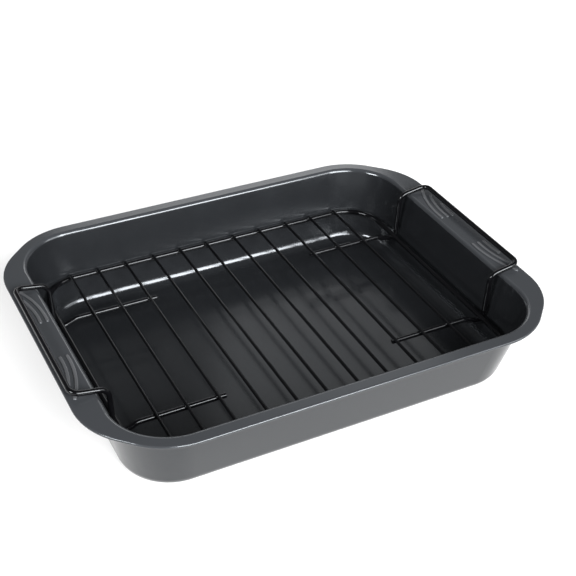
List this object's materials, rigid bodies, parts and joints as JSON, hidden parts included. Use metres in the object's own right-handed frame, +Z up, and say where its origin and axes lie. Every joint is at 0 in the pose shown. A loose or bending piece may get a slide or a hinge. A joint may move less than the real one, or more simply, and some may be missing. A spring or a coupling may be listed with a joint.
{
  "type": "roasting pan with rack",
  "caption": "Rectangular sheet-metal roasting pan with drafted walls and a wide rolled rim, and a welded wire rack that hangs inside on two wire handles and lifts out.",
  "frame": {"origin": "centre of the pan's flat underside", "axes": "+X along the pan's length, towards the right-hand grip; +Y across it; +Z up"},
  "size_m": [0.4, 0.3082, 0.0744],
  "materials": {
    "pan_coating": "semi-gloss dark grey non-stick coating on sheet steel",
    "rack_coating": "glossy black non-stick coating on steel wire"
  },
  "bodies": {
    "pan": {"pan": "pan_coating"},
    "rack": {"rack_ring": "rack_coating", "cross_wire_01": "rack_coating", "cross_wire_02": "rack_coating", "cross_wire_03": "rack_coating", "cross_wire_04": "rack_coating", "cross_wire_05": "rack_coating", "cross_wire_06": "rack_coating", "cross_wire_07": "rack_coating", "cross_wire_08": "rack_coating", "cross_wire_09": "rack_coating", "cross_wire_10": "rack_coating", "cross_wire_11": "rack_coating", "handle_left": "rack_coating", "handle_right": "rack_coating"}
  },
  "joints": [
    {"name": "rack_lift", "type": "slide", "parent": "pan", "child": "rack", "axis": [0, 0, 1], "range_m": [0, 0.12]}
  ]
}
